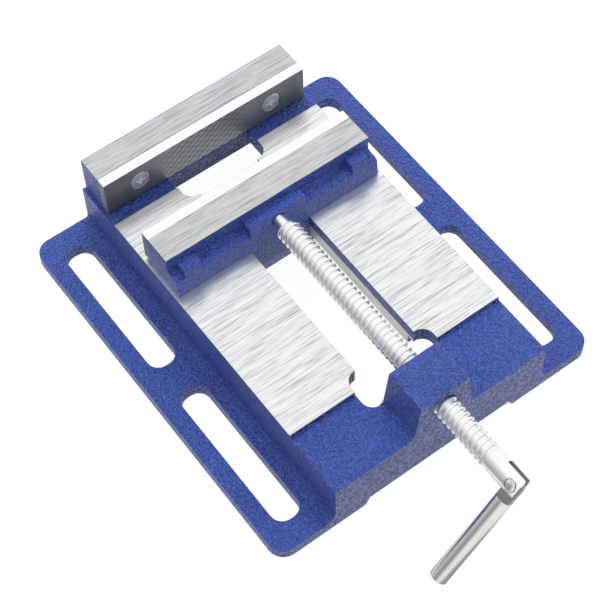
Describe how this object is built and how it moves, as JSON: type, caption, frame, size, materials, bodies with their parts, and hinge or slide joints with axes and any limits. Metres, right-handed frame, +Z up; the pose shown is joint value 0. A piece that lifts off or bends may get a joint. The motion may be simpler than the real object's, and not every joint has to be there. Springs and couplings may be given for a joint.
{
  "type": "drill press vise",
  "caption": "Flat machine vise with a slotted flange base, steel-faced jaws, a trapezoidal lead screw and a short folding handle.",
  "frame": {"origin": "under the middle of the fixed jaw's gripping face, on the surface that the vise stands on; the casting is hollow above it", "axes": "+X across the jaws to the right as seen from the handle, +Y from the handle to the fixed jaw, +Z up"},
  "size_m": [0.157, 0.2217, 0.0489],
  "materials": {
    "blue_paint": "textured blue paint on cast iron, rails machined bare",
    "jaw_blue_paint": "textured blue paint on cast iron, top machined bare",
    "plate_steel": "ground steel with a cross-hatched face",
    "thread_steel": "bright plated",
    "handle_steel": "turned and polished",
    "fastener_steel": "zinc plated",
    "keeper_steel": "plain steel, slightly dark"
  },
  "bodies": {
    "base": {"base_casting": "blue_paint", "fixed_jaw_plate": "plate_steel", "fixed_plate_screw_left": "fastener_steel", "fixed_plate_screw_right": "fastener_steel"},
    "jaw": {"movable_jaw": "jaw_blue_paint", "movable_jaw_plate": "plate_steel", "movable_plate_screw_left": "fastener_steel", "movable_plate_screw_right": "fastener_steel", "keeper_plate": "keeper_steel", "keeper_screw_left": "fastener_steel", "keeper_screw_right": "fastener_steel", "lock_washer_left": "fastener_steel", "lock_washer_right": "fastener_steel", "retaining_pin_left": "fastener_steel", "retaining_pin_right": "fastener_steel"},
    "screw": {"lead_screw": "thread_steel", "handle_rivet": "fastener_steel"},
    "handle": {"handle_bar": "handle_steel"}
  },
  "joints": [
    {"name": "jaw_slide", "type": "slide", "parent": "base", "child": "jaw", "axis": [0, 1, 0], "range_m": [-0.0845, 0.027]},
    {"name": "screw_spin", "type": "hinge", "parent": "jaw", "child": "screw", "pos_m": [0, -0.12, 0.0404], "axis": [0, 1, 0], "range_deg": [-11351, 3627]},
    {"name": "handle_fold", "type": "hinge", "parent": "screw", "child": "handle", "pos_m": [0, -0.1985, 0.0404], "axis": [-0.7373, 0, 0.6756], "range_deg": [-5, 185]}
  ],
  "couplings": [
    {"joint": "screw_spin", "follows": "jaw_slide", "rad_per_m": 2344.5}
  ]
}
